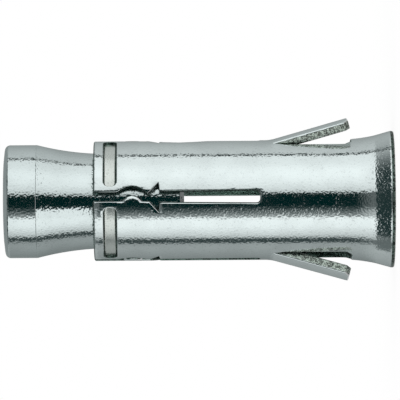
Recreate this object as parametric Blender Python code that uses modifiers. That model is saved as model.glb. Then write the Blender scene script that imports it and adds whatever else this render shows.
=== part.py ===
"""Ceiling anchor: a cone nut gripped in the slit end of a rolled sheet-steel expansion sleeve.

The anchor stands on the flared mouth of its sleeve, with the cone at the top. The origin is the
centre of the mouth and +Z runs up the bore to the cone. The slit that faces -Y is the front, the
open seam of the rolled sheet faces +Y, and the two lanced wings point to +X and -X.

The sleeve is made as the real one is: a flat blank is cut out, slit, lanced and punched, then
rolled into a tube, flared at the mouth, and its wings are bent out. On the flat blank, s runs
around the tube along the middle of the sheet, v is the height above the mouth, and w is the
distance outwards from the middle of the sheet. All lengths are in metres.
"""

import math

import bmesh
import bpy
from mathutils import Vector

MM = 0.001

# Sleeve
SLEEVE_LENGTH = 40.0 * MM
SLEEVE_RADIUS = 8.0 * MM        # outside of the tube, for a drilled hole of 16 mm
SHEET = 1.2 * MM
SEAM_GAP = 2.3 * MM             # left open between the two edges of the rolled sheet
CONE_END_ROUND = 0.2 * MM       # soft outer edge at the cone end
MOUTH_ROUND = 0.34 * MM         # soft outer edge at the mouth
LEGS = 4                        # the seam is the slit between the last leg and the first

# Flared mouth
FLARE_HEIGHT = 7.5 * MM
FLARE_GROWTH = 0.54 * MM        # growth in radius where the curved flare meets the straight lip
LIP_HEIGHT = 2.5 * MM
MOUTH_GROWTH = 1.25 * MM        # growth in radius at the edge of the mouth

# Slits, measured down from the cone end of the sleeve
CHANNEL_WIDTH = 1.1 * MM
HUMP_FROM_END = 5.12 * MM
HUMP_RADIUS = 1.59 * MM
HUMP_RISE = 0.75 * MM
FOOT_FILLET = 1.2 * MM
TOOTH_FROM_END = 7.2 * MM
SHOULDER_FROM_END = 7.45 * MM
BARB_FROM_END = 8.6 * MM
BARB_REACH = 1.68 * MM
BARB_BACK = 0.15 * MM           # how far the back of a barb leans towards the mouth
TIP_ROUND = 0.09 * MM
SLOT_WIDTH = 1.3 * MM
SLOT_END_WIDTH = 1.65 * MM      # the slot opens a little towards its closed end
SLOT_CORNER = 0.5 * MM
SLOT_TO_WING = 0.7 * MM         # sheet between the end of a slit and the start of a bend

# Wings
LANCE_TOP = 16.1 * MM           # height at which the cuts beside a wing end
WING_LENGTH = 10.3 * MM         # from there to the tip, along the sheet
WING_WIDTH = 5.24 * MM
WING_CHAMFER = 0.6 * MM
WING_ANGLE = math.radians(15.7)
BEND_LEAD = 1.1 * MM            # how far above the cuts the bend starts
BEND_LENGTH = 1.4 * MM
BULGE_REACH = 1.6 * MM          # how far the lifted sheet around the root takes to settle
LANCE_GAP = 0.06 * MM

# Dent in the edges of the two legs beside the +X slit
DENT_HEIGHT = 28.7 * MM
DENT_DEPTH = 0.24 * MM
DENT_LENGTH = 9.4 * MM
DENT_REACH = 2.6 * MM           # to each side of the middle of the slit

# Grip pockets, half sheared through the sheet so that each has a boss inside
POCKET_FROM_END = 2.2 * MM
POCKET_WIDTH = 1.65 * MM
POCKET_DEPTH = 0.4 * MM
POCKET_CORNER = 0.6 * MM
POCKET_MARGIN = 0.75 * MM       # from the end of a pocket to the edge of its leg

# Cone nut
NUT_LENGTH = 24.0 * MM
NUT_STICK_OUT = 12.0 * MM
HEAD_RADIUS = 7.55 * MM
HEAD_LENGTH = 4.4 * MM
HEAD_FILLET = 0.7 * MM
CROWN_DROP = 0.12 * MM
CROWN_WIDTH = 1.0 * MM
TAPER_LENGTH = 8.0 * MM
TAPER_CURVE = 38.0 * MM         # radius of the concave curve along the taper
NOSE_CHAMFER = 0.5 * MM
THREAD_DRILL = 8.5 * MM         # tapping drill of an M10 thread
COUNTERSINK = 0.95 * MM
GRIP_CLEARANCE = 0.05 * MM      # between the neck of the nut and the bosses that hold it

# Faceting
FACETS = 72                     # around a full turn
HUMP_STEPS = 8
SMALL_STEPS = 3
TAPER_STEPS = 6
DENT_STEPS = 8
FLARE_STEPS = 5
BEND_STEPS = 4
ON_LINE = 0.02 * MM             # a corner this close to a fold line is taken to lie on it

# Sizes that follow from the others
MID_RADIUS = SLEEVE_RADIUS - SHEET / 2
LEG_PITCH = (2 * math.pi * MID_RADIUS - SEAM_GAP) / LEGS
BLANK_HALF = LEG_PITCH * LEGS / 2
WING_TIP = LANCE_TOP - WING_LENGTH
BEND_START = LANCE_TOP + BEND_LEAD
NUT_TOP = SLEEVE_LENGTH + NUT_STICK_OUT
NUT_NOSE = NUT_TOP - NUT_LENGTH
NECK_RADIUS = SLEEVE_RADIUS - SHEET - POCKET_DEPTH - GRIP_CLEARANCE
BORE_RADIUS = THREAD_DRILL / 2


def clear_scene():
    """Remove the objects that a new scene starts with."""
    for item in list(bpy.data.objects):
        bpy.data.objects.remove(item, do_unlink=True)


def new_collection(name):
    """Return a new collection in the scene."""
    group = bpy.data.collections.new(name)
    bpy.context.scene.collection.children.link(group)
    return group


def plated_steel(name, colour, roughness):
    """Return a zinc-plated steel material."""
    material = bpy.data.materials.new(name)
    material.use_nodes = True
    shader = material.node_tree.nodes["Principled BSDF"]
    shader.inputs["Base Color"].default_value = (*colour, 1)
    shader.inputs["Metallic"].default_value = 1
    shader.inputs["Roughness"].default_value = roughness
    return material


def arc(centre, radius, start, end, steps):
    """Return points from angle start to angle end on a circle, both ends included."""
    turns = [start + (end - start) * step / steps for step in range(steps + 1)]
    return [centre + radius * Vector((math.cos(turn), math.sin(turn))) for turn in turns]


def rounded_corner(before, corner, after, radius):
    """Return the arc that rounds the corner between two straight edges."""
    back = (before - corner).normalized()
    ahead = (after - corner).normalized()
    half = back.angle(ahead) / 2
    centre = corner + (back + ahead).normalized() * radius / math.sin(half)
    start = corner + back * radius / math.tan(half) - centre
    sweep = start.angle_signed(corner + ahead * radius / math.tan(half) - centre)
    first = math.atan2(start.y, start.x)
    return arc(centre, radius, first, first - sweep, SMALL_STEPS)


def hump_centre():
    """Return the centre of the hump, with the middle of the slit at s = 0."""
    return Vector((HUMP_RISE - CHANNEL_WIDTH / 2 - HUMP_RADIUS, SLEEVE_LENGTH - HUMP_FROM_END))


def humped_edge():
    """Return the edge on the low side of a slit, from the cone end down to the slot."""
    side = -CHANNEL_WIDTH / 2
    foot = math.acos((HUMP_RADIUS - HUMP_RISE) / HUMP_RADIUS)
    shoulder = Vector((side, SLEEVE_LENGTH - SHOULDER_FROM_END))
    barb = Vector((-BARB_REACH, SLEEVE_LENGTH - BARB_FROM_END))
    slot = Vector((-SLOT_WIDTH / 2, barb.y - BARB_BACK))
    points = [Vector((side, SLEEVE_LENGTH))]
    points += arc(hump_centre(), HUMP_RADIUS, foot, -foot, HUMP_STEPS)
    points.append(shoulder)
    points += rounded_corner(shoulder, barb, slot, TIP_ROUND)
    points.append(slot)
    return points


def recessed_edge():
    """Return the edge on the high side of a slit, which follows the hump at channel width."""
    side = CHANNEL_WIDTH / 2
    centre = hump_centre()
    recess = HUMP_RADIUS + CHANNEL_WIDTH
    across = side + FOOT_FILLET - centre.x
    reach = recess + FOOT_FILLET
    lean = math.acos(across / reach)
    foot_centre = centre + reach * Vector((math.cos(lean), math.sin(lean)))
    tooth_drop = TOOTH_FROM_END - HUMP_FROM_END
    tooth_lean = -math.asin(tooth_drop / recess)
    barb = Vector((BARB_REACH, SLEEVE_LENGTH - BARB_FROM_END))
    slot = Vector((SLOT_WIDTH / 2, barb.y - BARB_BACK))
    hollow = arc(centre, recess, lean, tooth_lean, HUMP_STEPS)
    tooth = hollow.pop()
    points = [Vector((side, SLEEVE_LENGTH))]
    points += arc(foot_centre, FOOT_FILLET, math.pi, math.pi + lean, SMALL_STEPS)
    points += hollow[1:]
    points += rounded_corner(hollow[-1], tooth, barb, TIP_ROUND)
    points += rounded_corner(tooth, barb, slot, TIP_ROUND)
    points.append(slot)
    return points


def slit_outline():
    """Return one slit from its right side, round its lower end and up its left side."""
    level = BEND_START + SLOT_TO_WING + SLOT_CORNER
    side = SLOT_END_WIDTH / 2 - SLOT_CORNER
    end = arc(Vector((side, level)), SLOT_CORNER, 0, -math.pi / 2, SMALL_STEPS)
    end += arc(Vector((-side, level)), SLOT_CORNER, -math.pi / 2, -math.pi, SMALL_STEPS)
    return recessed_edge() + end + humped_edge()[::-1]


def blank_outline():
    """Return the outline of the flat blank, with a slit between each two legs."""
    half_slot = Vector((SLOT_WIDTH / 2, 0))
    right = Vector((BLANK_HALF, 0))
    points = [-right, right]
    points += [point + half_slot + right for point in humped_edge()[::-1]]
    for slit in range(LEGS - 1, 0, -1):
        middle = Vector((slit * LEG_PITCH - BLANK_HALF, 0))
        points += [point + middle for point in slit_outline()]
    points += [point - half_slot - right for point in recessed_edge()]
    return points


def tongue_outline(middle, spread):
    """Return the open outline of a wing on the blank, moved outwards by spread."""
    half = WING_WIDTH / 2 + spread
    tip = WING_TIP - spread
    corner = WING_CHAMFER + spread * math.tan(math.pi / 8)
    right = [(half, LANCE_TOP), (half, tip + corner), (half - corner, tip)]
    left = [(-s, v) for s, v in right[::-1]]
    return [Vector((middle + s, v)) for s, v in right + left]


def lance_outline(middle):
    """Return the thin U-shaped cut that frees a wing from the sleeve."""
    return tongue_outline(middle, LANCE_GAP) + tongue_outline(middle, 0)[::-1]


def pocket_outline(middle):
    """Return the rounded rectangle of a grip pocket, centred on a leg."""
    length = LEG_PITCH - CHANNEL_WIDTH - 2 * POCKET_MARGIN
    height = SLEEVE_LENGTH - POCKET_FROM_END
    half = Vector((length / 2 - POCKET_CORNER, POCKET_WIDTH / 2 - POCKET_CORNER))
    points = []
    for quarter, (side, level) in enumerate(((1, 1), (-1, 1), (-1, -1), (1, -1))):
        centre = Vector((middle + side * half.x, height + level * half.y))
        start = quarter * math.pi / 2
        points += arc(centre, POCKET_CORNER, start, start + math.pi / 2, SMALL_STEPS)
    return points


def flat_plate(name, outline, low, high, group):
    """Return a flat solid with the given outline, between two depths in the sheet."""
    curve = bpy.data.curves.new(name, "CURVE")
    curve.dimensions = "2D"
    curve.fill_mode = "BOTH"
    curve.extrude = (high - low) / 2
    spline = curve.splines.new("POLY")
    spline.points.add(len(outline) - 1)
    for point, place in zip(spline.points, outline):
        point.co = (place.x, place.y, 0, 1)
    spline.use_cyclic_u = True
    drawing = bpy.data.objects.new(name + "_drawing", curve)
    drawing.location.z = (high + low) / 2
    group.objects.link(drawing)
    bpy.context.view_layer.update()
    view = bpy.context.evaluated_depsgraph_get()
    mesh = bpy.data.meshes.new_from_object(drawing.evaluated_get(view))
    plate = bpy.data.objects.new(name, mesh)
    plate.matrix_world = drawing.matrix_world
    group.objects.link(plate)
    bpy.data.objects.remove(drawing)
    shape = bmesh.new()
    shape.from_mesh(mesh)
    bmesh.ops.remove_doubles(shape, verts=shape.verts, dist=0.001 * MM)
    bmesh.ops.recalc_face_normals(shape, faces=shape.faces)
    shape.to_mesh(mesh)
    shape.free()
    return plate


def work_sheet(sheet, tool, operation):
    """Add a Boolean that cuts the sheet with a tool or joins the tool to it."""
    tool.hide_render = True
    tool.display_type = "WIRE"
    step = sheet.modifiers.new(tool.name, "BOOLEAN")
    step.object = tool
    step.operation = operation
    step.solver = "EXACT"


def punched_blank(tools):
    """Return the flat blank with its slits, lance cuts and half-sheared pockets, as a bmesh."""
    outer = SHEET / 2
    blank = flat_plate("flat_blank", blank_outline(), -outer, outer, tools)
    made = [blank]
    for wing, middle in enumerate((-LEG_PITCH, LEG_PITCH)):
        lance = flat_plate(f"lance_{wing}", lance_outline(middle), -SHEET, SHEET, tools)
        work_sheet(blank, lance, "DIFFERENCE")
        made.append(lance)
    for leg in range(LEGS):
        outline = pocket_outline((leg + 0.5) * LEG_PITCH - BLANK_HALF)
        punch = flat_plate(f"punch_{leg}", outline, outer - POCKET_DEPTH, outer + SHEET, tools)
        boss = flat_plate(f"boss_{leg}", outline, -outer - POCKET_DEPTH, -outer / 2, tools)
        work_sheet(blank, punch, "DIFFERENCE")
        work_sheet(blank, boss, "UNION")
        made += [punch, boss]
    bpy.context.view_layer.update()
    view = bpy.context.evaluated_depsgraph_get()
    shape = bmesh.new()
    shape.from_object(blank, view)
    for item in made:
        bpy.data.objects.remove(item)
    flat = math.radians(0.1)
    bmesh.ops.dissolve_limit(shape, angle_limit=flat, verts=shape.verts, edges=shape.edges)
    return shape


def soften_end(shape, level, radius):
    """Round the outer edge of one end of the blank."""
    edges = []
    for edge in shape.edges:
        outside = all(abs(vert.co.z - SHEET / 2) < ON_LINE for vert in edge.verts)
        at_end = all(abs(vert.co.y - level) < ON_LINE for vert in edge.verts)
        if outside and at_end:
            edges.append(edge)
    bmesh.ops.bevel(
        shape, geom=edges, offset=radius, offset_type="OFFSET", segments=SMALL_STEPS,
        profile=0.5, affect="EDGES", material=-1)


def fold_line(shape, faces, point, across):
    """Split the given faces along the plane through a point."""
    edges = {edge for face in faces for edge in face.edges}
    verts = {vert for face in faces for vert in face.verts}
    bmesh.ops.bisect_plane(
        shape, geom=list(verts) + list(edges) + list(faces), dist=ON_LINE,
        plane_co=point, plane_no=across)


def in_wing(place):
    """Say whether a place on the blank lies on a wing, its lanced edge included."""
    side = abs(abs(place.x) - LEG_PITCH)
    slack = LANCE_GAP / 2
    past_corner = side - (WING_WIDTH / 2 - WING_CHAMFER) + WING_TIP - place.y
    wide = side < WING_WIDTH / 2 + slack
    return wide and WING_TIP - slack < place.y <= BEND_START and past_corner < slack


def faces_across(shape, middle, reach, level):
    """Return the faces that cross a level, no further than reach from a line up the blank."""
    return [
        face for face in shape.faces
        if abs(face.calc_center_median().x - middle) < reach
        and min(vert.co.y for vert in face.verts) < level - ON_LINE
        and max(vert.co.y for vert in face.verts) > level + ON_LINE
    ]


def add_fold_lines(shape):
    """Split the blank wherever it will bend, so that its facets are even."""
    step = 2 * math.pi * MID_RADIUS / FACETS
    lines = int(BLANK_HALF / step) + 1
    for line in range(-lines, lines):
        fold_line(shape, shape.faces[:], Vector(((line + 0.5) * step, 0, 0)), Vector((1, 0, 0)))
    curved = FLARE_HEIGHT - LIP_HEIGHT
    for line in range(FLARE_STEPS + 1):
        level = LIP_HEIGHT + curved * line / FLARE_STEPS
        fold_line(shape, shape.faces[:], Vector((0, level, 0)), Vector((0, 1, 0)))
    bend = [BEND_START - BEND_LENGTH * line / BEND_STEPS for line in range(BEND_STEPS + 1)]
    for level in bend + [LANCE_TOP, LANCE_TOP - BULGE_REACH]:
        near = faces_across(shape, -LEG_PITCH, WING_WIDTH / 2 + BULGE_REACH, level)
        near += faces_across(shape, LEG_PITCH, WING_WIDTH / 2 + BULGE_REACH, level)
        fold_line(shape, near, Vector((0, level, 0)), Vector((0, 1, 0)))
    for line in range(DENT_STEPS + 1):
        level = DENT_HEIGHT + DENT_LENGTH * (line / DENT_STEPS - 0.5)
        near = faces_across(shape, LEG_PITCH, DENT_REACH, level)
        fold_line(shape, near, Vector((0, level, 0)), Vector((0, 1, 0)))


def flare(height):
    """Return the outer radius and the slope of the sleeve wall at a height."""
    curved = FLARE_HEIGHT - LIP_HEIGHT
    if height >= FLARE_HEIGHT:
        return SLEEVE_RADIUS, 0
    if height >= LIP_HEIGHT:
        depth = (FLARE_HEIGHT - height) / curved
        return SLEEVE_RADIUS + FLARE_GROWTH * depth ** 2, 2 * FLARE_GROWTH * depth / curved
    slope = (MOUTH_GROWTH - FLARE_GROWTH) / LIP_HEIGHT
    return SLEEVE_RADIUS + FLARE_GROWTH + slope * (LIP_HEIGHT - height), slope


def ease(share):
    """Return a share between 0 and 1 that starts and ends gently."""
    share = min(max(share, 0), 1)
    return share * share * (3 - 2 * share)


def bend_shift(outwards, along):
    """Return how far a bend moves a point out and up, that far along the bend."""
    bend_radius = BEND_LENGTH / WING_ANGLE
    turn = WING_ANGLE * min(along / BEND_LENGTH, 1)
    straight = max(along - BEND_LENGTH, 0)
    rise = bend_radius * (1 - math.cos(turn)) + straight * math.sin(WING_ANGLE)
    drop = bend_radius * math.sin(turn) + straight * math.cos(WING_ANGLE)
    depth = outwards - SLEEVE_RADIUS
    return Vector((rise - depth * (1 - math.cos(turn)), along - drop + depth * math.sin(turn)))


def wing_shift(place, outwards):
    """Return how far the nearest wing moves a place on the blank out and up."""
    along = max(BEND_START - place.y, 0)
    if in_wing(place):
        return bend_shift(outwards, along)
    beside = abs(abs(place.x) - LEG_PITCH) - WING_WIDTH / 2
    settled = max(beside, 0) / BULGE_REACH
    below = max(LANCE_TOP - place.y, 0) / BULGE_REACH
    return bend_shift(outwards, min(along, BEND_LEAD)) * ease(1 - settled) * ease(1 - below)


def dent(place):
    """Return how far a place on the blank is pressed in."""
    beside = abs(place.x - LEG_PITCH) / DENT_REACH
    along = abs(place.y - DENT_HEIGHT) / (DENT_LENGTH / 2)
    return DENT_DEPTH * ease(1 - beside) * ease(1 - along)


def roll_up(shape):
    """Roll the blank into a tube, flare its mouth and bend its wings out."""
    for vert in shape.verts:
        place = vert.co.copy()
        middle = math.copysign(LEG_PITCH / MID_RADIUS, place.x)
        angle = place.x / MID_RADIUS - middle
        depth = place.z - SHEET / 2
        outer, slope = (SLEEVE_RADIUS, 0) if in_wing(place) else flare(place.y)
        radius = outer + depth * math.sqrt(1 + slope ** 2) - dent(place)
        outwards = radius * math.cos(angle)
        sideways = radius * math.sin(angle)
        shift = wing_shift(place, outwards)
        outwards += shift.x
        vert.co.x = outwards * math.sin(middle) + sideways * math.cos(middle)
        vert.co.y = sideways * math.sin(middle) - outwards * math.cos(middle)
        vert.co.z = place.y + shift.y


def expansion_sleeve(group, tools, material):
    """Make the sleeve: one piece of sheet steel, punched flat and rolled."""
    shape = punched_blank(tools)
    soften_end(shape, 0, MOUTH_ROUND)
    soften_end(shape, SLEEVE_LENGTH, CONE_END_ROUND)
    add_fold_lines(shape)
    roll_up(shape)
    bmesh.ops.recalc_face_normals(shape, faces=shape.faces)
    mesh = bpy.data.meshes.new("expansion_sleeve")
    shape.to_mesh(mesh)
    shape.free()
    mesh.materials.append(material)
    sleeve = bpy.data.objects.new("expansion_sleeve", mesh)
    group.objects.link(sleeve)
    mesh.shade_smooth()
    mesh.set_sharp_from_angle(angle=math.radians(30))
    return sleeve


def nut_profile():
    """Return half the section of the nut, down its outer side and back up its bore."""
    taper_top = Vector((HEAD_RADIUS, NUT_TOP - HEAD_LENGTH))
    taper_end = Vector((NECK_RADIUS, taper_top.y - TAPER_LENGTH))
    chord = taper_end - taper_top
    reach = math.sqrt(TAPER_CURVE ** 2 - chord.length_squared / 4)
    outwards = Vector((-chord.y, chord.x)).normalized()
    centre = (taper_top + taper_end) / 2 + outwards * reach
    start = taper_top - centre
    end = taper_end - centre
    first = math.atan2(start.y, start.x) % (2 * math.pi)
    last = math.atan2(end.y, end.x) % (2 * math.pi)
    shoulder = HEAD_RADIUS - HEAD_FILLET
    mouth = BORE_RADIUS + COUNTERSINK
    fillet_centre = Vector((shoulder, NUT_TOP - CROWN_DROP - HEAD_FILLET))
    points = [Vector((shoulder - CROWN_WIDTH, NUT_TOP))]
    points += arc(fillet_centre, HEAD_FILLET, math.pi / 2, 0, SMALL_STEPS + 1)
    points += arc(centre, TAPER_CURVE, first, last, TAPER_STEPS)
    points.append(Vector((NECK_RADIUS, NUT_NOSE + NOSE_CHAMFER)))
    points.append(Vector((NECK_RADIUS - NOSE_CHAMFER, NUT_NOSE)))
    points.append(Vector((mouth, NUT_NOSE)))
    points.append(Vector((BORE_RADIUS, NUT_NOSE + COUNTERSINK)))
    points.append(Vector((BORE_RADIUS, NUT_TOP - COUNTERSINK)))
    points.append(Vector((mouth, NUT_TOP)))
    return points


def cone_nut(group, material):
    """Make the nut: a turned profile whose origin is at its nose, on the axis it slides along."""
    mesh = bpy.data.meshes.new("cone_nut")
    profile = nut_profile()
    corners = [(point.x, 0, point.y - NUT_NOSE) for point in profile]
    edges = [(index, (index + 1) % len(profile)) for index in range(len(profile))]
    mesh.from_pydata(corners, edges, [])
    mesh.materials.append(material)
    nut = bpy.data.objects.new("cone_nut", mesh)
    nut.location.z = NUT_NOSE
    group.objects.link(nut)
    turned = nut.modifiers.new("turned", "SCREW")
    turned.axis = "Z"
    turned.angle = 2 * math.pi
    turned.steps = FACETS
    turned.render_steps = FACETS
    turned.use_merge_vertices = True
    turned.merge_threshold = 0.001 * MM
    turned.use_smooth_shade = True
    return nut


def main():
    """Build the anchor."""
    clear_scene()
    anchor = new_collection("Ceiling anchor")
    tools = new_collection("Cutters")
    expansion_sleeve(anchor, tools, plated_steel("sleeve_zinc", (0.60, 0.65, 0.65), 0.25))
    cone_nut(anchor, plated_steel("nut_zinc", (0.56, 0.60, 0.59), 0.22))


main()
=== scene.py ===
"""Ceiling anchor: zinc-plated sheet-steel sleeve and turned cone nut, dressed around the CAD frame.

The sleeve is drawn on its flat blank, where X runs around the tube, Y up it and Z outwards, and is
then rolled, flared and bent like the real one. All lengths are in metres.
"""

import math

import bmesh
import bpy
from bpy.props import FloatProperty, FloatVectorProperty, PointerProperty
from mathutils import Matrix, Vector, noise


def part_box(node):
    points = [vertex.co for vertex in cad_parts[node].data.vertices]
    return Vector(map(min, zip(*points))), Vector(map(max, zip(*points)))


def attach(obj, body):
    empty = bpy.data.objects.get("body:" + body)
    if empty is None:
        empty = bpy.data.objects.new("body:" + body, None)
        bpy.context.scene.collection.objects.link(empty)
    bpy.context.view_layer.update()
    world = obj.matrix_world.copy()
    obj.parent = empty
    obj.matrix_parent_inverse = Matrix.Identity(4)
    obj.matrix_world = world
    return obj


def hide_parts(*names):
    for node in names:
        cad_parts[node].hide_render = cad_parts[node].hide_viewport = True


bl_info = {
    "name": "Ceiling Anchor",
    "version": (1, 0, 0),
    "blender": (4, 5, 0),
    "location": "3D View > Sidebar > Anchor",
    "description": "Builds a zinc-plated hollow-ceiling anchor and its studio",
    "category": "Add Mesh",
}

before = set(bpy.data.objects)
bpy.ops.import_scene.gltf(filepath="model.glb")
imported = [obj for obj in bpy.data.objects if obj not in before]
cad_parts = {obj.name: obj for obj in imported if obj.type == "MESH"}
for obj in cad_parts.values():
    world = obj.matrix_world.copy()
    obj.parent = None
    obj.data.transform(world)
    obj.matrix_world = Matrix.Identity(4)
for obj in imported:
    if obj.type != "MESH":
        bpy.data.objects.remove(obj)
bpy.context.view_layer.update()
SLEEVE_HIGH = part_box("expansion_sleeve")[1]
NUT_LOW, NUT_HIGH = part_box("cone_nut")

MM = 0.001
MICRON = 0.001 * MM
LEGS = 4
TURN = 2 * math.pi

# How close two places are to be one, and how close a place is to be on a line of the blank.
MERGE = MICRON
ON_LINE = 20 * MICRON

# How finely curves are split.
FACETS = 180
ROUND_STEPS = 3
HUMP_STEPS = 14
RECESS_STEPS = 16
CORNER_STEPS = 5
POCKET_STEPS = 6
FILLET_STEPS = 12
TAPER_STEPS = 24
THREAD_STEPS = 72
FLARE_LEVELS = 20
BEND_LEVELS = 14
TEAR_LEVELS = 6
TEAR_LENGTH = 0.25 * MM
FLOOR_STEPS = 96

# The waves in a metre of the torn sides' roughness.
COARSE_TEARS = 2600
FINE_TEARS = 6000

# The places of the sleeve's materials in its list.
# The sheared finish is cut steel made very dark; on slit and pocket walls and on rounded edges that
# darkness is partly painted shade.
PLATED, SHEARED_AND_SHADE, TORN, PRESSED, INSIDE = range(5)


def length(name, millimetres, description):
    """Return a length property with its default in millimetres."""
    return FloatProperty(
        name=name, description=description, default=millimetres * MM, unit="LENGTH", precision=5)


def colour(name, default, description):
    """Return a colour property."""
    return FloatVectorProperty(
        name=name, description=description, default=default, subtype="COLOR", min=0, max=1)


def share(name, default, description):
    """Return a property between 0 and 1."""
    return FloatProperty(
        name=name, description=description, default=default, subtype="FACTOR", min=0, max=1)


def angle(name, degrees, description):
    """Return an angle property with its default in degrees."""
    return FloatProperty(
        name=name, description=description, default=math.radians(degrees), unit="ROTATION")


class AnchorSleeveSizes(bpy.types.PropertyGroup):
    """Sizes of the rolled sleeve and its flared mouth"""

    radius: length("Radius", 8, "Outside radius of the straight tube")
    sheet: length("Sheet", 1.2, "Thickness of the sheet")
    seam_gap: length("Seam gap", 2.3, "Gap between the two edges of the rolled sheet")
    flare_height: length("Flare height", 7.5, "Height at which the mouth starts to widen")
    flare_growth: length("Flare growth", 0.54, "Growth in radius down to the lip")
    lip_height: length("Lip height", 2.5, "Height of the straight lip")
    mouth_growth: length("Mouth growth", 1.25, "Growth in radius at the edge of the mouth")
    mouth_round: length("Mouth round", 0.45, "Rounding of the outer edge of the mouth")
    end_round: length("Cone end round", 0.2, "Rounding of the outer edge at the cone end")
    edge_round: length("Edge round", 0.12, "Rounding of the cut edges outside")
    wing_round: length("Wing edge round", 0.17, "Rounding of the wings and their windows outside")
    inner_round: length("Inner edge round", 0.05, "Rounding of the cut edges inside")


class AnchorSlitSizes(bpy.types.PropertyGroup):
    """Sizes of the slits between the legs, measured down from the cone end"""

    channel_width: length("Channel width", 1.1, "Width of the narrow part")
    hump_from_end: length("Hump from end", 5.12, "Distance of the hump from the cone end")
    hump_radius: length("Hump radius", 1.59, "Radius of the hump")
    hump_rise: length("Hump rise", 0.75, "How far the hump reaches past its edge")
    hump_round: length("Hump edge round", 0.38, "Rounding of the hump outside")
    low_round: length("Low side round", 0.19, "Rounding of a slit's low side below its hump")
    foot_fillet: length("Foot fillet", 1.2, "Fillet between the channel and the recess")
    tooth_from_end: length("Tooth from end", 7.2, "Distance of the tooth from the cone end")
    shoulder_from_end: length("Shoulder from end", 7.45, "Distance of the lower barb's shoulder")
    barb_from_end: length("Barbs from end", 8.6, "Distance of the barb tips from the cone end")
    barb_reach: length("Barb reach", 1.68, "Reach of a barb from the middle of the slit")
    barb_back: length("Barb back", 0.15, "Lean of the back of a barb")
    slot_width: length("Slot width", 1.3, "Width of the slot past the barbs")
    slot_end_width: length("Slot end width", 1.65, "Width of the slot at its closed end")
    slot_corner: length("Slot corner", 0.5, "Radius of the corners of the closed end")
    slot_to_wing: length("Slot to wing", 0.7, "Sheet between a slot's end and a bend")


class AnchorWingSizes(bpy.types.PropertyGroup):
    """Sizes of the two lanced wings"""

    lance_top: length("Lance top", 16.1, "Height at which the cuts beside a wing end")
    length: length("Length", 10.3, "Length from there to the tip")
    width: length("Width", 5.24, "Width of a wing")
    chamfer: length("Chamfer", 0.6, "Chamfer of the two tip corners")
    angle: angle("Angle", 15.7, "Angle of a wing to the sleeve")
    bend_lead: length("Bend lead", 1.1, "How far above the cuts the bend starts")
    bend_length: length("Bend length", 1.4, "Length of the bend along the sheet")
    bulge_reach: length("Bulge reach", 1.6, "How far the lifted sheet takes to settle")
    lance_gap: length("Lance gap", 0.06, "Width of the cut around a wing")
    tear: length("Tear", 0.02, "Roughness of the sheared walls")


class AnchorDentSizes(bpy.types.PropertyGroup):
    """Sizes of the dent in the two legs beside the +X slit"""

    height: length("Height", 28.7, "Height of the deepest place")
    depth: length("Depth", 0.24, "Depth of the dent")
    length: length("Length", 9.4, "Length of the dent up the sleeve")
    reach: length("Reach", 2.6, "Reach to each side of the slit")


class AnchorPocketSizes(bpy.types.PropertyGroup):
    """Sizes of the half-sheared grip pockets"""

    from_end: length("From end", 2.2, "Distance from the cone end")
    width: length("Width", 1.65, "Width along the sleeve")
    depth: length("Depth", 0.4, "Depth of the pocket and height of its boss")
    corner: length("Corner", 0.6, "Corner radius")
    margin: length("Margin", 0.75, "Distance from a pocket to the edge of its leg")
    draft: length("Draft", 0.26, "How far the pocket's long walls lean")
    lean_in: share("Lean in", 0.6, "Share of the draft by which the pocket's floor is narrower")
    rim: length("Rim", 0.06, "Rounding of the pocket's rim")


class AnchorNutSizes(bpy.types.PropertyGroup):
    """Sizes of the cone nut"""

    head_radius: length("Head radius", 7.55, "Radius of the round head")
    head_length: length("Head length", 4.4, "Length of the round head")
    head_fillet: length("Head fillet", 0.7, "Rounding of the head's edge")
    crown_drop: length("Crown drop", 0.12, "Fall of the end face towards its edge")
    crown_width: length("Crown width", 1, "Width of the falling part of the end face")
    tool_mark: length("Tool mark", 0.07, "Width of the fine groove between head and taper")
    taper_length: length("Taper length", 8, "Length of the concave taper")
    taper_curve: length("Taper curve", 38, "Radius of the curve along the taper")
    neck_radius: length("Neck radius", 6.35, "Radius of the neck inside the sleeve")
    nose_chamfer: length("Nose chamfer", 0.5, "Chamfer of the inner end")
    countersink: length("Countersink", 0.95, "Depth of the countersinks")
    thread_minor: length("Thread minor radius", 4.25, "Radius of the thread's crests")
    thread_major: length("Thread major radius", 5.05, "Radius of the thread's roots")
    thread_pitch: length("Thread pitch", 1.5, "Pitch of the thread")


class AnchorFinish(bpy.types.PropertyGroup):
    """Colours and grain of the plated steel"""

    sleeve_colour: colour("Sleeve", (0.87, 0.905, 0.91), "Plated sheet steel")
    nut_colour: colour("Nut", (0.79, 0.83, 0.835), "Plated turned steel")
    inside_colour: colour("Inside", (0.72, 0.82, 0.78), "Thinner plating inside the sleeve")
    pocket_colour: colour("Pocket", (0.88, 0.89, 0.855), "Pressed floor of a pocket")
    # Very dark: the bare cut steel, darkened further as painted shade in the slits and pockets and
    # along the mouth and the cone end.
    sheared_and_shade_colour: colour("Sheared edge", (0.08, 0.115, 0.1), "Sheared walls of slits and pockets")
    torn_colour: colour("Torn edge", (0.34, 0.385, 0.345), "Torn steel on the sides of the wings")
    sleeve_roughness: share("Sleeve roughness", 0.09, "Roughness of the sheet")
    nut_roughness: share("Nut roughness", 0.09, "Roughness of the turned steel")
    pocket_roughness: share("Pocket roughness", 0.3, "Roughness of the pocket floors")
    sheared_roughness: share("Sheared roughness", 0.28, "Roughness of the sheared walls")


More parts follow.
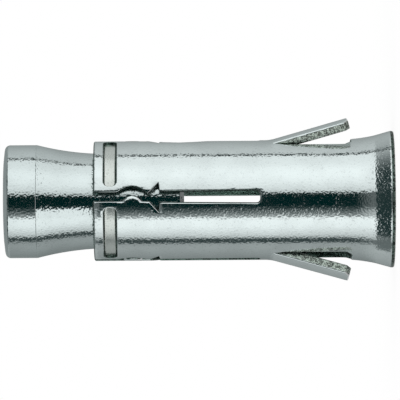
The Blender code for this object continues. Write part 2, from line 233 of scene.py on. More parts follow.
class AnchorStudio(bpy.types.PropertyGroup):
    """Camera, floor and light"""

    swing: angle("Camera swing", 3.9, "Turn of the camera around the anchor")
    tilt: angle("Camera tilt", 0.4, "Tilt of the anchor in the picture")
    distance: length("Camera distance", 660, "From the camera to the anchor's axis")
    height: length("Aim height", 25.86, "Height that the camera aims at")
    offset: length("Aim offset", 0.067, "Aim to the side of the axis")
    lens: FloatProperty(name="Lens", description="Focal length", default=444, unit="CAMERA")
    floor_radius: length("Floor radius", 80, "Radius of the pale floor")
    floor_drop: length("Floor drop", 0.02, "How far the floor lies below the mouth")
    floor_colour: colour("Floor", (0.18, 0.18, 0.18), "Pale floor")
    # The glow fades towards the middle as painted shade around the anchor.
    floor_glow: share("Floor glow", 0.55, "Added level of the floor's edge, seen in the metal")
    fill: share("Fill", 0.8, "Level of the soft light from all around")


class AnchorSettings(bpy.types.PropertyGroup):
    """All the sizes and finishes of the ceiling anchor"""

    sleeve: PointerProperty(type=AnchorSleeveSizes, name="Sleeve", description="Sleeve sizes")
    slits: PointerProperty(type=AnchorSlitSizes, name="Slits", description="Slit sizes")
    wings: PointerProperty(type=AnchorWingSizes, name="Wings", description="Wing sizes")
    dent: PointerProperty(type=AnchorDentSizes, name="Dent", description="Dent sizes")
    pockets: PointerProperty(type=AnchorPocketSizes, name="Pockets", description="Pocket sizes")
    nut: PointerProperty(type=AnchorNutSizes, name="Nut", description="Nut sizes")
    finish: PointerProperty(type=AnchorFinish, name="Finish", description="Plating")
    studio: PointerProperty(type=AnchorStudio, name="Studio", description="Camera and light")


class Value:
    """A number in a shader, on which Python's operators add Math nodes."""

    def __init__(self, shader, socket):
        self.shader = shader
        self.socket = socket

    def maths(self, operation, *values):
        """Return the result of a Math node on some values."""
        return self.shader.node("Math", {"operation": operation}, dict(enumerate(values)))

    def __add__(self, other):
        return self.maths("ADD", self, other)

    def __sub__(self, other):
        return self.maths("SUBTRACT", self, other)

    def __mul__(self, other):
        return self.maths("MULTIPLY", self, other)

    def __truediv__(self, other):
        return self.maths("DIVIDE", self, other)

    def __rsub__(self, other):
        return self.maths("SUBTRACT", other, self)

    def __rtruediv__(self, other):
        return self.maths("DIVIDE", other, self)

    __radd__ = __add__
    __rmul__ = __mul__

    def rise(self, low, high):
        """Return 0 below low and 1 above high, with a smooth rise between them."""
        settings = {"interpolation_type": "SMOOTHSTEP"}
        return self.shader.node("MapRange", settings, {0: self, 1: low, 2: high, 3: 0, 4: 1})


class Shader:
    """The node tree of a material or of the world."""

    def __init__(self, owner):
        owner.use_nodes = True
        self.tree = owner.node_tree
        self.tree.nodes.clear()

    def node(self, kind, settings=None, values=None, output=0):
        """Add a node, set it up, fill its sockets and return one of its outputs."""
        node = self.tree.nodes.new("ShaderNode" + kind)
        for name, setting in (settings or {}).items():
            if name == "stops":
                self.set_stops(node.color_ramp, setting)
            else:
                setattr(node, name, setting)
        for name, value in (values or {}).items():
            if isinstance(value, Value):
                self.tree.links.new(value.socket, node.inputs[name])
            else:
                node.inputs[name].default_value = value
        return Value(self, node.outputs[output]) if node.outputs else None

    @staticmethod
    def set_stops(ramp, stops):
        """Give a colour ramp its stops."""
        while len(ramp.elements) < len(stops):
            ramp.elements.new(0.5)
        for element, (place, tone) in zip(ramp.elements, stops):
            element.position = place
            element.color = tone

    def noise(self, place, scale, detail, stretch=(1, 1, 1)):
        """Return a noise pattern between 0 and 1, with its scale in cells a metre."""
        stretched = self.node("Mapping", {}, {"Vector": place, "Scale": stretch})
        values = {"Vector": stretched, "Scale": scale, "Detail": detail, "Roughness": 0.6}
        return self.node("TexNoise", {}, values)

    def blend(self, factor, first, second):
        """Return a colour between two others."""
        return self.node("Mix", {"data_type": "RGBA"}, {0: factor, 6: first, 7: second}, 2)

    def metal(self, base, roughness, height):
        """Add the metal surface of a material, with bumps whose height is in micrometres."""
        normal = self.node("Bump", {}, {"Strength": 1, "Distance": MICRON, "Height": height})
        steel = self.node("BsdfPrincipled", {}, {
            "Base Color": base, "Metallic": 1, "Roughness": roughness, "Normal": normal})
        self.node("OutputMaterial", {}, {"Surface": steel})


def tint(tone, factor):
    """Return a colour with its alpha, made lighter or darker by a factor."""
    return (*[min(channel * factor, 1) for channel in tone], 1)


def plated_steel(name, tone, roughness, grain, lay):
    """Return bright zinc plating with a fine grain and faint lines around the axis.

    The heights of the grain and of the lines, its lay, are in micrometres.
    """
    material = bpy.data.materials.new(name)
    shader = Shader(material)
    place = shader.node("TexCoord", output=3)
    blotches = shader.noise(place, 260, 3)
    speckle = shader.noise(place, 4000, 0)
    lines = shader.noise(place, 420, 3, (0.25, 0.25, 9))
    dull = blotches.rise(0.35, 0.7)
    spots = speckle.rise(0.62, 0.78)
    cloudy = shader.blend(dull, tint(tone, 1.03), tint(tone, 0.95))
    base = shader.blend(spots * 0.25, cloudy, tint(tone, 0.72))
    rough = roughness + (dull - 0.5) * 0.06 + spots * 0.12
    shader.metal(base, rough, speckle * grain + lines * lay)
    return material


def sheared_steel(name, tone, roughness):
    """Return the torn face that a punch leaves through the sheet, with painted glints: bright spots
    in its colour.
    """
    material = bpy.data.materials.new(name)
    shader = Shader(material)
    place = shader.node("TexCoord", output=3)
    tears = shader.noise(place, 2200, 3)
    glints = shader.noise(place, 7000, 2)
    # The bright spots where the noise peaks are painted glints; the darker rest is the steel's own
    # varying tone.
    base = shader.blend((tears + glints).rise(0.91, 1.1), tint(tone, 0.45), tint(tone, 2.4))
    shader.metal(base, roughness + (glints - 0.5) * 0.3, tears * 40 + glints * 14)
    return material


class Pen:
    """Draws an outline in the XY plane with straight edges and arcs."""

    def __init__(self, start):
        self.shape = bmesh.new()
        self.first = self.shape.verts.new((*start, 0))
        self.tip = self.first

    def line(self, *places):
        """Draw straight edges from place to place."""
        for place in places:
            made = bmesh.ops.extrude_vert_indiv(self.shape, verts=[self.tip])
            self.tip = made["verts"][0]
            self.tip.co = (*place, 0)

    def arc(self, centre, sweep, steps):
        """Draw an arc around a centre."""
        made = bmesh.ops.spin(
            self.shape, geom=[self.tip], cent=(*centre, 0), axis=(0, 0, 1), angle=sweep, steps=steps)
        self.tip = next(item for item in made["geom_last"] if isinstance(item, bmesh.types.BMVert))

    def close(self):
        """Join the last point to the first."""
        bmesh.ops.contextual_create(self.shape, geom=[self.tip, self.first])
        return self.shape

    def plate(self, low, high):
        """Close the outline and return a flat solid between two depths."""
        shape = self.close()
        bmesh.ops.remove_doubles(shape, verts=shape.verts, dist=MERGE)
        bmesh.ops.contextual_create(shape, geom=shape.edges[:])
        bmesh.ops.translate(shape, verts=shape.verts, vec=(0, 0, low))
        made = bmesh.ops.extrude_face_region(shape, geom=shape.faces[:])
        raised = [item for item in made["geom"] if isinstance(item, bmesh.types.BMVert)]
        bmesh.ops.translate(shape, verts=raised, vec=(0, 0, high - low))
        bmesh.ops.recalc_face_normals(shape, faces=shape.faces)
        return shape

    def turned(self, rise, sweep, steps, merge):
        """Close the outline, stand it up, and return it turned about the Z axis as it rises."""
        shape = self.close()
        bmesh.ops.rotate(
            shape, verts=shape.verts, cent=(0, 0, 0), matrix=Matrix.Rotation(math.pi / 2, 3, "X"))
        bmesh.ops.spin(
            shape, geom=shape.verts[:] + shape.edges[:], cent=(0, 0, 0), axis=(0, 0, 1),
            dvec=(0, 0, rise), angle=sweep, steps=steps, use_merge=merge)
        return shape


def new_object(name, shape):
    """Put a bmesh in an object of its own and free it."""
    mesh = bpy.data.meshes.new(name)
    shape.to_mesh(mesh)
    shape.free()
    made = bpy.data.objects.new(name, mesh)
    bpy.context.scene.collection.objects.link(made)
    return made


def worked(body, tools):
    """Return a body as a bmesh, cut by or joined to each tool, and remove all of them."""
    for tool, operation in tools:
        step = body.modifiers.new(tool.name, "BOOLEAN")
        step.object = tool
        step.operation = operation
        step.solver = "EXACT"
    bpy.context.view_layer.update()
    shape = bmesh.new()
    shape.from_object(body, bpy.context.evaluated_depsgraph_get())
    for item in [body] + [tool for tool, operation in tools]:
        bpy.data.objects.remove(item)
    return shape


def between(low, high, parts):
    """Return the levels that split a stretch into equal parts, with both ends."""
    return [low + (high - low) * part / parts for part in range(parts + 1)]


def ease(amount):
    """Return an amount between 0 and 1 that starts and ends gently."""
    amount = min(max(amount, 0), 1)
    return amount * amount * (3 - 2 * amount)


class Blank:
    """The sleeve's flat blank, and the way it is rolled, flared and bent."""

    def __init__(self, anchor):
        self.sleeve = anchor.sleeve
        self.slits = anchor.slits
        self.wings = anchor.wings
        self.dent = anchor.dent
        self.pockets = anchor.pockets
        self.radius = anchor.sleeve.radius
        self.outer = anchor.sleeve.sheet / 2
        self.length = SLEEVE_HIGH.z
        self.middle_radius = self.radius - self.outer
        self.pitch = (TURN * self.middle_radius - anchor.sleeve.seam_gap) / LEGS
        self.half = self.pitch * LEGS / 2
        self.pocket_span = self.pitch - anchor.slits.channel_width - 2 * anchor.pockets.margin
        self.wing_tip = anchor.wings.lance_top - anchor.wings.length
        self.bend_start = anchor.wings.lance_top + anchor.wings.bend_lead
        self.barb_level = self.length - anchor.slits.barb_from_end
        self.slot_level = self.barb_level - anchor.slits.barb_back
        hump_edge = anchor.slits.hump_rise - anchor.slits.channel_width / 2
        self.hump = Vector((
            hump_edge - anchor.slits.hump_radius, self.length - anchor.slits.hump_from_end))

    def draw_humped_edge(self, pen, middle):
        """Draw the low side of a slit upwards, from its slot to the cone end."""
        slits = self.slits
        side = middle - slits.channel_width / 2
        foot = math.acos(1 - slits.hump_rise / slits.hump_radius)
        centre = self.hump + Vector((middle, 0))
        pen.line(
            (middle - slits.slot_width / 2, self.slot_level),
            (middle - slits.barb_reach, self.barb_level),
            (side, self.length - slits.shoulder_from_end),
            centre + slits.hump_radius * Vector((math.cos(foot), -math.sin(foot))))
        pen.arc(centre, 2 * foot, HUMP_STEPS)
        pen.line((side, self.length))

    def draw_recessed_edge(self, pen, middle):
        """Draw the high side of a slit downwards, from the cone end to its slot."""
        slits = self.slits
        side = slits.channel_width / 2
        recess = slits.hump_radius + slits.channel_width
        reach = recess + slits.foot_fillet
        lean = math.acos((side + slits.foot_fillet - self.hump.x) / reach)
        centre = self.hump + Vector((middle, 0))
        foot = centre + reach * Vector((math.cos(lean), math.sin(lean)))
        tooth_lean = math.asin((slits.tooth_from_end - slits.hump_from_end) / recess)
        pen.line(foot - Vector((slits.foot_fillet, 0)))
        pen.arc(foot, lean, CORNER_STEPS)
        pen.arc(centre, -lean - tooth_lean, RECESS_STEPS)
        pen.line(
            (middle + slits.barb_reach, self.barb_level),
            (middle + slits.slot_width / 2, self.slot_level))

    def flat_blank(self):
        """Return the blank with its slits, as cut from the sheet."""
        slot = self.slits.slot_width / 2
        corner = self.slits.slot_corner
        end = Vector((self.slits.slot_end_width / 2, self.bend_start + self.slits.slot_to_wing))
        pen = Pen((-self.half, 0))
        pen.line((self.half, 0))
        self.draw_humped_edge(pen, self.half + slot)
        for slit in range(LEGS - 1, 0, -1):
            middle = slit * self.pitch - self.half
            pen.line((middle + self.slits.channel_width / 2, self.length))
            self.draw_recessed_edge(pen, middle)
            pen.line((middle + end.x, end.y + corner))
            pen.arc((middle + end.x - corner, end.y + corner), -math.pi / 2, CORNER_STEPS)
            pen.line((middle - end.x + corner, end.y))
            pen.arc((middle - end.x + corner, end.y + corner), -math.pi / 2, CORNER_STEPS)
            self.draw_humped_edge(pen, middle)
        seam = -self.half - slot
        pen.line((seam + self.slits.channel_width / 2, self.length))
        self.draw_recessed_edge(pen, seam)
        return new_object("blank", pen.plate(-self.outer, self.outer))

    def tongue(self, middle, spread):
        """Return the corners of a wing, moved outwards by spread."""
        half = self.wings.width / 2 + spread
        tip = self.wing_tip - spread
        corner = self.wings.chamfer + spread * math.tan(math.pi / 8)
        right = [(half, self.wings.lance_top), (half, tip + corner), (half - corner, tip)]
        left = [(-x, y) for x, y in right[::-1]]
        return [(middle + x, y) for x, y in right + left]

    def lance(self, middle):
        """Return the thin tool that cuts a wing free."""
        wide = self.tongue(middle, self.wings.lance_gap)
        pen = Pen(wide[0])
        pen.line(*wide[1:], *self.tongue(middle, 0)[::-1])
        return new_object("lance", pen.plate(-2 * self.outer, 2 * self.outer))

    def pocket(self, middle, low, high):
        """Return the punch or the boss of a grip pocket."""
        pockets = self.pockets
        half = Vector((self.pocket_span / 2 - pockets.corner, pockets.width / 2 - pockets.corner))
        level = self.length - pockets.from_end
        pen = Pen((middle + half.x + pockets.corner, level + half.y))
        pen.arc((middle + half.x, level + half.y), math.pi / 2, POCKET_STEPS)
        for along, x, y in (((-2, 0), -1, 1), ((0, -2), -1, -1), ((2, 0), 1, -1)):
            pen.line(pen.tip.co.xy + half * Vector(along))
            pen.arc((middle + x * half.x, level + y * half.y), math.pi / 2, POCKET_STEPS)
        plate = pen.plate(low, high)
        for vert in plate.verts:
            corner = level + math.copysign(half.y, vert.co.y - level)
            lean = pockets.draft * ((vert.co.z - low) / pockets.depth - pockets.lean_in)
            vert.co.y += (vert.co.y - corner) * lean / pockets.corner
        return new_object("pocket", plate)

    def punched(self):
        """Return the blank with its lance cuts, pockets and bosses, as a bmesh."""
        depth = self.pockets.depth
        tools = [(self.lance(side * self.pitch), "DIFFERENCE") for side in (-1, 1)]
        for leg in range(LEGS):
            middle = (leg + 0.5) * self.pitch - self.half
            punch = self.pocket(middle, self.outer - depth, 2 * self.outer)
            boss = self.pocket(middle, -self.outer - depth, -self.outer / 2)
            tools += [(punch, "DIFFERENCE"), (boss, "UNION")]
        shape = worked(self.flat_blank(), tools)
        flat = math.radians(0.1)
        bmesh.ops.dissolve_limit(shape, angle_limit=flat, verts=shape.verts, edges=shape.edges)
        return shape

    def at_pocket(self, place):
        """Say whether a place lies on a pocket or its boss."""
        leg = (place.x + self.half) % self.pitch - self.pitch / 2
        level = abs(place.y - self.length + self.pockets.from_end)
        reach = (self.pockets.width + self.pockets.draft) / 2
        return abs(leg) < self.pocket_span / 2 + ON_LINE and level < reach + ON_LINE

    def at_lance(self, place):
        """Say whether a place lies on the cut around a wing."""
        slack = self.wings.lance_gap + ON_LINE
        side = abs(abs(place.x) - self.pitch)
        low = self.wing_tip - slack
        return side < self.wings.width / 2 + slack and low < place.y < self.wings.lance_top + slack

    def on_hump(self, place, slack=ON_LINE):
        """Say whether a place lies on the arc of a hump, or that close to it."""
        middles = [slit * self.pitch - self.half for slit in range(1, LEGS)]
        middles.append(self.half + self.slits.slot_width / 2)
        reaches = [(place.xy - self.hump - Vector((middle, 0))).length for middle in middles]
        return any(abs(reach - self.slits.hump_radius) < slack for reach in reaches)

    def rounding(self, edge):
        """Return the radius that an edge of the punched blank is rounded to."""
        first, second = [vert.co for vert in edge.verts]
        if abs(first.z - second.z) > ON_LINE or edge.calc_face_angle(0) < math.radians(45):
            return 0
        if self.at_pocket(first) and self.at_pocket(second):
            return self.pockets.rim
        if first.z < 0:
            return self.sleeve.inner_round
        if self.at_lance(first) and self.at_lance(second):
            return self.sleeve.wing_round
        if self.on_hump(first) and self.on_hump(second):
            return self.slits.hump_round
        if first.y == second.y == 0:
            return self.sleeve.mouth_round
        if min(first.y, second.y) > self.length - ON_LINE:
            return self.sleeve.end_round
        beside = (first.x + self.half + self.pitch / 2) % self.pitch - self.pitch / 2
        by_hump = beside < 0 and first.y < self.hump.y
        return self.slits.low_round if by_hump else self.sleeve.edge_round

    def rounded(self, shape):
        """Return the punched blank with its edges rounded."""
        widest = self.sleeve.mouth_round
        weights = shape.edges.layers.float.new("bevel_weight_edge")
        for edge in shape.edges:
            edge[weights] = self.rounding(edge) / widest
        body = new_object("rounded_blank", shape)
        rounds = body.modifiers.new("rounds", "BEVEL")
        rounds.limit_method = "WEIGHT"
        rounds.width = widest
        rounds.segments = ROUND_STEPS
        rounds.use_clamp_overlap = False
        return worked(body, [])

    def fold_line(self, shape, faces, point, across):
        """Split the given faces along the plane through a point."""
        edges = {edge for face in faces for edge in face.edges}
        verts = {vert for face in faces for vert in face.verts}
        bmesh.ops.bisect_plane(
            shape, geom=list(verts) + list(edges) + list(faces), dist=5 * MERGE,
            plane_co=point, plane_no=across)

    def add_fold_lines(self, shape):
        """Split the blank finely enough to bend smoothly."""
        step = TURN * self.middle_radius / FACETS
        reach = int(self.half / step) + 1
        for line in range(-reach, reach):
            self.fold_line(shape, shape.faces[:], ((line + 0.5) * step, 0, 0), (1, 0, 0))
        lip = self.sleeve.lip_height
        flare = self.sleeve.flare_height
        bend_end = self.wings.lance_top - self.wings.bulge_reach
        levels = [self.sleeve.mouth_round + 0.25 * MM, lip / 2, lip - 0.08 * MM, lip + 0.08 * MM]
        levels += between(lip, flare, FLARE_LEVELS)[1:]
        levels += between(bend_end, self.bend_start, BEND_LEVELS)
        levels += between(flare, bend_end, 5)[1:-1]
        levels += between(self.bend_start, self.length, 12)[1:-1]
        for level in levels:
            self.fold_line(shape, shape.faces[:], (0, level, 0), (0, 1, 0))

    def finish_of(self, face):
        """Return which material a face of the rounded blank gets.

        It goes by how flat the face lies: 1 on the two sides of the sheet and 0 on a cut wall.
        """
        place = face.calc_center_median()
        flatness = abs(face.normal.z)
        if self.at_pocket(place):
            # A pocket's walls get the dark sheared finish: cut steel, with painted shade along the
            # pocket's edges.
            if flatness < 0.8:
                return SHEARED_AND_SHADE
            return PRESSED if 0 < place.z < self.outer - self.pockets.depth / 2 else PLATED
        if face.normal.z < -0.8:
            return INSIDE
        if self.at_lance(place) and self.in_wing(place):
            return TORN if flatness < 0.3 else PLATED
        # The mouth's rounded edge and end face get the dark cut finishes: cut steel, with painted
        # shade along the mouth.
        if place.y < self.sleeve.mouth_round and flatness < 0.99:
            return TORN if flatness < 0.8 else SHEARED_AND_SHADE
        # Rounded slit edges that turn well away from the sheet get the dark sheared finish: painted
        # shade along the slits.
        if flatness < (0.3 if self.on_hump(place, self.slits.hump_round) else 0.75):
            return SHEARED_AND_SHADE
        # The cone end face gets the dark sheared finish: cut steel, with painted shade where it
        # meets the nut.
        end = place.y > self.length - self.sleeve.end_round
        return SHEARED_AND_SHADE if end and face.normal.y > 0.5 else PLATED

    def add_tear_lines(self, shape):
        """Split the torn sides of the wings finely enough to roughen them."""
        depths = between(-self.outer, self.outer, TEAR_LEVELS)[1:-1]
        steps = int(self.wings.length / TEAR_LENGTH)
        heights = between(self.wing_tip, self.wings.lance_top, steps)[1:-1]
        planes = [((0, 0, depth), (0, 0, 1)) for depth in depths]
        planes += [((0, height, 0), (0, 1, 0)) for height in heights]
        for point, across in planes:
            walls = [face for face in shape.faces if face.material_index == TORN]
            self.fold_line(shape, walls, point, across)

    def tear(self, shape):
        """Roughen the sides of the wings on the rolled sleeve like torn steel."""
        shape.normal_update()
        moved = []
        for vert in shape.verts:
            torn = all(face.material_index == TORN for face in vert.link_faces)
            if torn and vert.co.z > self.sleeve.mouth_round:
                coarse = noise.noise(vert.co * COARSE_TEARS)
                fine = noise.noise(vert.co * FINE_TEARS)
                moved.append((vert, vert.normal * (coarse + 0.5 * fine) * self.wings.tear))
        for vert, move in moved:
            vert.co += move

    def in_wing(self, place):
        """Say whether a place lies on a wing."""
        wings = self.wings
        side = abs(abs(place.x) - self.pitch)
        slack = wings.lance_gap / 2
        past_corner = side - (wings.width / 2 - wings.chamfer) + self.wing_tip - place.y
        wide = side < wings.width / 2 + slack
        return wide and self.wing_tip - slack < place.y <= self.bend_start and past_corner < slack

    def flare(self, height):
        """Return the outer radius and the slope of the wall at a height."""
        sleeve = self.sleeve
        curved = sleeve.flare_height - sleeve.lip_height
        growth = sleeve.flare_growth
        if height >= sleeve.flare_height:
            return self.radius, 0
        if height >= sleeve.lip_height:
            depth = (sleeve.flare_height - height) / curved
            return self.radius + growth * depth ** 2, 2 * growth * depth / curved
        slope = (sleeve.mouth_growth - growth) / sleeve.lip_height
        return self.radius + growth + slope * (sleeve.lip_height - height), slope

    def bend_shift(self, outwards, along):
        """Return how far a bend moves a point out and up, that far along the bend."""
        wings = self.wings
        bend_radius = wings.bend_length / wings.angle
        turn = wings.angle * min(along / wings.bend_length, 1)
        straight = max(along - wings.bend_length, 0)
        rise = bend_radius * (1 - math.cos(turn)) + straight * math.sin(wings.angle)
        drop = bend_radius * math.sin(turn) + straight * math.cos(wings.angle)
        depth = outwards - self.radius
        return Vector((rise - depth * (1 - math.cos(turn)), along - drop + depth * math.sin(turn)))

    def wing_shift(self, place, outwards):
        """Return how far the nearest wing moves a place out and up."""
        wings = self.wings
        along = max(self.bend_start - place.y, 0)
        if self.in_wing(place):
            return self.bend_shift(outwards, along)
        beside = abs(abs(place.x) - self.pitch) - wings.width / 2
        settled = max(beside, 0) / wings.bulge_reach
        below = max(wings.lance_top - place.y, 0) / wings.bulge_reach
        lift = self.bend_shift(outwards, min(along, wings.bend_lead))
        return lift * ease(1 - settled) * ease(1 - below)

    def dent_depth(self, place):
        """Return how far a place is pressed in by the dent."""
        beside = abs(place.x - self.pitch) / self.dent.reach
        along = abs(place.y - self.dent.height) / (self.dent.length / 2)
        return self.dent.depth * ease(1 - beside) * ease(1 - along)

    def roll_up(self, shape):
        """Roll the blank into a tube, flare its mouth and bend its wings out."""
        for vert in shape.verts:
            place = vert.co.copy()
            middle = math.copysign(self.pitch / self.middle_radius, place.x)
            angle = place.x / self.middle_radius - middle
            depth = place.z - self.outer
            outer, slope = (self.radius, 0) if self.in_wing(place) else self.flare(place.y)
            radius = outer + depth * math.sqrt(1 + slope ** 2) - self.dent_depth(place)
            outwards = radius * math.cos(angle)
            sideways = radius * math.sin(angle)
            shift = self.wing_shift(place, outwards)
            outwards += shift.x
            vert.co.x = outwards * math.sin(middle) + sideways * math.cos(middle)
            vert.co.y = sideways * math.sin(middle) - outwards * math.cos(middle)
            vert.co.z = place.y + shift.y


def shade(piece, sharp):
    """Shade a piece smooth, with hard edges past an angle."""
    piece.data.shade_smooth()
    piece.data.set_sharp_from_angle(angle=math.radians(sharp))
    even = piece.modifiers.new("even_shading", "WEIGHTED_NORMAL")
    even.keep_sharp = True
    even.thresh = 0


class ANCHOR_OT_expansion_sleeve(bpy.types.Operator):
    """Make the sleeve: one sheet of steel, punched flat, rolled, flared and bent"""

    bl_idname = "anchor.expansion_sleeve"
    bl_label = "Expansion Sleeve"
    bl_options = {"REGISTER", "UNDO"}

    def execute(self, context):
        anchor = context.scene.anchor
        finish = anchor.finish
        blank = Blank(anchor)
        shape = blank.rounded(blank.punched())
        for face in shape.faces:
            face.material_index = blank.finish_of(face)
        blank.add_fold_lines(shape)
        blank.add_tear_lines(shape)
        blank.roll_up(shape)
        bmesh.ops.recalc_face_normals(shape, faces=shape.faces)
        blank.tear(shape)
        sleeve = new_object("rolled_sleeve", shape)
        sheet = finish.sleeve_roughness
        cut = finish.sheared_roughness
        floor = finish.pocket_roughness
        for material in (
                plated_steel("zinc_sheet", finish.sleeve_colour, sheet, grain=12, lay=0.8),
                # The sheared finish: cut steel darkened as painted shade.
                sheared_steel("sheared_edge_and_shade", finish.sheared_and_shade_colour, cut),
                sheared_steel("torn_edge", finish.torn_colour, cut),
                plated_steel("pressed_floor", finish.pocket_colour, floor, grain=8, lay=1),
                plated_steel("zinc_inside", finish.inside_colour, sheet, grain=12, lay=0.8)):
            sleeve.data.materials.append(material)
        shade(sleeve, 35)
        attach(sleeve, "sleeve")
        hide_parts("expansion_sleeve")
        return {"FINISHED"}


def nut_body(sizes):
    """Return the turned nut, with its bore at the roots of the thread."""
    top = NUT_HIGH.z
    nose = NUT_LOW.z
    shoulder = sizes.head_radius - sizes.head_fillet
    taper_top = Vector((sizes.head_radius, top - sizes.head_length))
    taper_end = Vector((sizes.neck_radius, taper_top.y - sizes.taper_length))
    chord = taper_end - taper_top
    reach = math.sqrt(sizes.taper_curve ** 2 - chord.length_squared / 4)
    outwards = Vector((-chord.y, chord.x)).normalized()
    centre = (taper_top + taper_end) / 2 + outwards * reach
    sweep = 2 * math.asin(chord.length / 2 / sizes.taper_curve)
    mouth = sizes.thread_minor + sizes.countersink
    sink = mouth - sizes.thread_major
    pen = Pen((shoulder - sizes.crown_width, top))
    pen.line((shoulder, top - sizes.crown_drop))
    pen.arc((shoulder, top - sizes.crown_drop - sizes.head_fillet), -math.pi / 2, FILLET_STEPS)
    pen.line(
        (sizes.head_radius, taper_top.y + sizes.tool_mark),
        (sizes.head_radius - sizes.tool_mark / 6, taper_top.y + sizes.tool_mark / 2),
        taper_top)
    pen.arc(centre, sweep, TAPER_STEPS)
    pen.line(
        (sizes.neck_radius, nose + sizes.nose_chamfer),
        (sizes.neck_radius - sizes.nose_chamfer, nose),
        (mouth, nose),
        (sizes.thread_major, nose + sink),
        (sizes.thread_major, top - sink),
        (mouth, top))
    shape = pen.turned(0, TURN, FACETS, True)
    bmesh.ops.remove_doubles(shape, verts=shape.verts, dist=MERGE)
    bmesh.ops.recalc_face_normals(shape, faces=shape.faces)
    return new_object("nut_body", shape)


def nut_thread(sizes):
    """Return the ridge of the thread, which runs out in the countersinks."""
    top = NUT_HIGH.z
    nose = NUT_LOW.z
    pitch = sizes.thread_pitch
    root = pitch * 7 / 16
    crest = pitch / 8
    buried = 0.05 * MM
    start = nose + root + buried
    turns = (top - nose - 2 * (root + buried)) / pitch
    pen = Pen((sizes.thread_major + buried, start - root))
    pen.line(
        (sizes.thread_minor, start - crest),
        (sizes.thread_minor, start + crest),
        (sizes.thread_major + buried, start + root))
    shape = pen.turned(
        pitch / THREAD_STEPS, TURN * turns, round(turns * THREAD_STEPS), False)
    bmesh.ops.holes_fill(shape, edges=[edge for edge in shape.edges if edge.is_boundary])
    mouth = sizes.thread_minor + sizes.countersink
    for vert in shape.verts:
        depth = min(vert.co.z - nose, top - vert.co.z)
        radius = vert.co.xy.length
        sunk = max(radius, mouth - depth)
        vert.co.x *= sunk / radius
        vert.co.y *= sunk / radius
    bmesh.ops.recalc_face_normals(shape, faces=shape.faces)
    return new_object("nut_thread", shape)


class ANCHOR_OT_cone_nut(bpy.types.Operator):
    """Make the cone nut: a turned body with a thread right through"""

    bl_idname = "anchor.cone_nut"
    bl_label = "Cone Nut"
    bl_options = {"REGISTER", "UNDO"}

    def execute(self, context):
        anchor = context.scene.anchor
        finish = anchor.finish
        body = nut_body(anchor.nut)
        shape = worked(body, [(nut_thread(anchor.nut), "UNION")])
        nut = new_object("threaded_cone_nut", shape)
        nut.data.materials.append(plated_steel(
            "zinc_turned", finish.nut_colour, finish.nut_roughness, grain=17, lay=6))
        shade(nut, 12)
        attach(nut, "nut")
        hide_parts("cone_nut")
        return {"FINISHED"}


def band(degrees):
    """Return the place on the studio's ramp of what a surface turned by half that angle mirrors."""
    return degrees / 360 + 0.5


def cool(level):
    """Return the slightly cool colour of a studio panel."""
    return (max(0.95 * level - 0.015, 0), level, 0.99 * level, 1)


def view_axes(studio):
    """Return the direction to the camera and the one that is upwards in the picture."""
    east = math.sin(studio.swing)
    north = math.cos(studio.swing)
    return Vector((-east, -north, 0)), Vector((north, -east, 0))


def studio_world(studio):
    """Light the anchor with soft panels, seen in the metal, in front of a white background.

    The panels are laid out by the normal of the surface that mirrors them to the camera: around
    the anchor by its turn to the upper side of the picture, and along it by its tilt to the cone,
    or away from it, as a sine.
    """
    world = bpy.data.worlds.new("studio")
    bpy.context.scene.world = world
    shader = Shader(world)
    direction = shader.node("TexCoord", output=0)
    towards, upwards = view_axes(studio)
    middle = shader.node("VectorMath", {"operation": "ADD"}, {0: direction, 1: towards})
    normal = shader.node("VectorMath", {"operation": "NORMALIZE"}, {0: middle})
    dot = {"operation": "DOT_PRODUCT"}
    front = shader.node("VectorMath", dot, {0: normal, 1: towards}, 1)
    above = shader.node("VectorMath", dot, {0: normal, 1: upwards}, 1)
    tilt = shader.node("VectorMath", dot, {0: normal, 1: (0, 0, 1)}, 1)
    away = 0 - tilt
    around = above.maths("ARCTAN2", above, front) / math.pi + 0.5

    def past(low, high):
        """Return 0 up to the low angle around the anchor and 1 past the high one."""
        return around.rise(band(low), band(high))

    panels = (
        (-180, 0.20), (-145, 0.25), (-105, 0.36), (-92, 0.34), (-89, 0.05), (-80, 0.06),
        (-77, 0.42), (-72, 0.64), (-62, 0.80), (-52, 0.95), (-37, 0.98), (-33, 0.72),
        (-31, 0.27), (-24, 0.13), (-17, 0.05), (-10, 0.014), (12.5, 0.012), (15.5, 0.60),
        (21, 0.76), (36, 0.93), (50, 1.0), (60, 0.98), (75, 0.87), (94.6, 0.82),
        (95.4, 0.01), (99.2, 0.01), (100, 0.60), (115, 0.55), (140, 0.43), (180, 0.27))
    stops = [(band(degrees), cool(level)) for degrees, level in panels]
    mirrored = shader.node("ValToRGB", {"stops": stops}, {"Fac": around})
    gap = past(-36, -33) * (1 - past(-19, -15))
    taper = away.rise(0.02, 0.06) * gap
    flare = tilt.rise(0.07, 0.2) * (gap * 0.35 + 0.16) * (1 - past(88, 98))
    mouth_tilt = tilt + studio.height / studio.distance / 2 / front
    lip = mouth_tilt.rise(0.22, 0.25) * past(-106, -98) * (1 - past(45, 150))
    lip_tone = shader.blend(past(-72, -64), cool(0.14), cool(0.03))
    crown = tilt.rise(0.34, 0.40)
    rim = away.rise(0.26, 0.29)
    underside = away.rise(0.65, 0.75)
    for mask, tone in (
            (taper, cool(0.93)), (flare, cool(0.8)), (lip, lip_tone), (crown, cool(0.30)),
            (rim, cool(0.10)), (underside, cool(0.28))):
        mirrored = shader.blend(mask, mirrored, tone)
    glossy = shader.node("LightPath", output="Is Glossy Ray")
    camera = shader.node("LightPath", output="Is Camera Ray")
    fill = (studio.fill, studio.fill, studio.fill, 1)
    light = shader.blend(camera, shader.blend(glossy, fill, mirrored), (1, 1, 1, 1))
    background = shader.node("Background", {}, {"Color": light, "Strength": 1})
    shader.node("OutputWorld", {}, {"Surface": background})


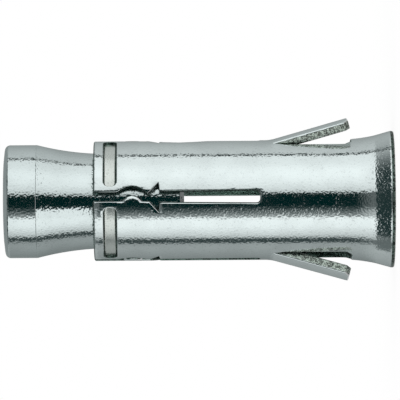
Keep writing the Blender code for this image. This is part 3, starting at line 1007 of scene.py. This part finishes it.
def pale_floor(studio):
    """Make a small round floor, white to the camera with soft shadows, and clear from below."""
    shape = bmesh.new()
    bmesh.ops.create_circle(
        shape, cap_ends=True, segments=FLOOR_STEPS, radius=studio.floor_radius)
    bmesh.ops.translate(shape, verts=shape.verts, vec=(0, 0, -studio.floor_drop))
    floor = new_object("floor", shape)
    material = bpy.data.materials.new("pale_floor")
    shader = Shader(material)
    matt = shader.node("BsdfPrincipled", {}, {
        "Base Color": (*studio.floor_colour, 1), "Roughness": 0.9, "Specular IOR Level": 0})
    camera = shader.node("LightPath", output="Is Camera Ray")
    glossy = shader.node("LightPath", output="Is Glossy Ray")
    place = shader.node("TexCoord", output=3)
    reach = shader.node("VectorMath", {"operation": "LENGTH"}, {0: place}, 1)
    lift = 1 - studio.fill * studio.floor_colour[0]
    # Seen in the metal the floor glows less towards the middle, where the anchor stands: painted
    # shade around the anchor's foot, rising to the full glow at the floor's edge.
    mirrored = reach.rise(-studio.floor_radius / 2, studio.floor_radius) * studio.floor_glow
    glow = shader.node(
        "Emission", {}, {"Color": (1, 1, 1, 1), "Strength": camera * lift + glossy * mirrored})
    both = shader.node("AddShader", {}, {0: matt, 1: glow})
    underside = shader.node("NewGeometry", output="Backfacing")
    clear = shader.node("BsdfTransparent")
    one_sided = shader.node("MixShader", {}, {0: underside, 1: both, 2: clear})
    shader.node("OutputMaterial", {}, {"Surface": one_sided})
    floor.data.materials.append(material)


def photo_camera(studio):
    """Look at the anchor from the side, with its cone end to the left."""
    towards, side = view_axes(studio)
    down = Vector((0, 0, -1))
    right = math.cos(studio.tilt) * down - math.sin(studio.tilt) * side
    up = math.sin(studio.tilt) * down + math.cos(studio.tilt) * side
    target = Vector((0, 0, studio.height)) + side * studio.offset
    place = target + towards * studio.distance
    camera = bpy.data.objects.new("camera", bpy.data.cameras.new("camera"))
    camera.matrix_world = Matrix((
        (right.x, up.x, towards.x, place.x),
        (right.y, up.y, towards.y, place.y),
        (right.z, up.z, towards.z, place.z),
        (0, 0, 0, 1)))
    camera.data.lens = studio.lens
    camera.data.clip_start = 0.01
    bpy.context.scene.collection.objects.link(camera)
    bpy.context.scene.camera = camera


class ANCHOR_OT_studio(bpy.types.Operator):
    """Set up the camera, the floor and the light"""

    bl_idname = "anchor.studio"
    bl_label = "Studio"
    bl_options = {"REGISTER", "UNDO"}

    def execute(self, context):
        studio = context.scene.anchor.studio
        studio_world(studio)
        pale_floor(studio)
        photo_camera(studio)
        context.scene.view_settings.view_transform = "Standard"
        return {"FINISHED"}


class ANCHOR_PT_panel(bpy.types.Panel):
    """Lists the anchor's operators and settings"""

    bl_idname = "ANCHOR_PT_panel"
    bl_label = "Ceiling Anchor"
    bl_space_type = "VIEW_3D"
    bl_region_type = "UI"
    bl_category = "Anchor"

    def draw(self, context):
        layout = self.layout
        for operator in OPERATORS:
            layout.operator(operator.bl_idname)
        anchor = context.scene.anchor
        for name in AnchorSettings.__annotations__:
            box = layout.box()
            box.label(text=name.capitalize())
            group = getattr(anchor, name)
            for size in group.__annotations__:
                box.prop(group, size)


OPERATORS = (ANCHOR_OT_expansion_sleeve, ANCHOR_OT_cone_nut, ANCHOR_OT_studio)
CLASSES = (
    AnchorSleeveSizes, AnchorSlitSizes, AnchorWingSizes, AnchorDentSizes, AnchorPocketSizes,
    AnchorNutSizes, AnchorFinish, AnchorStudio, AnchorSettings, *OPERATORS, ANCHOR_PT_panel)


def register():
    for item in CLASSES:
        bpy.utils.register_class(item)
    bpy.types.Scene.anchor = PointerProperty(type=AnchorSettings)


def unregister():
    del bpy.types.Scene.anchor
    for item in reversed(CLASSES):
        bpy.utils.unregister_class(item)


def main():
    """Build the anchor and its studio."""
    register()
    bpy.ops.anchor.expansion_sleeve()
    bpy.ops.anchor.cone_nut()
    bpy.ops.anchor.studio()


if __name__ == "__main__":
    main()
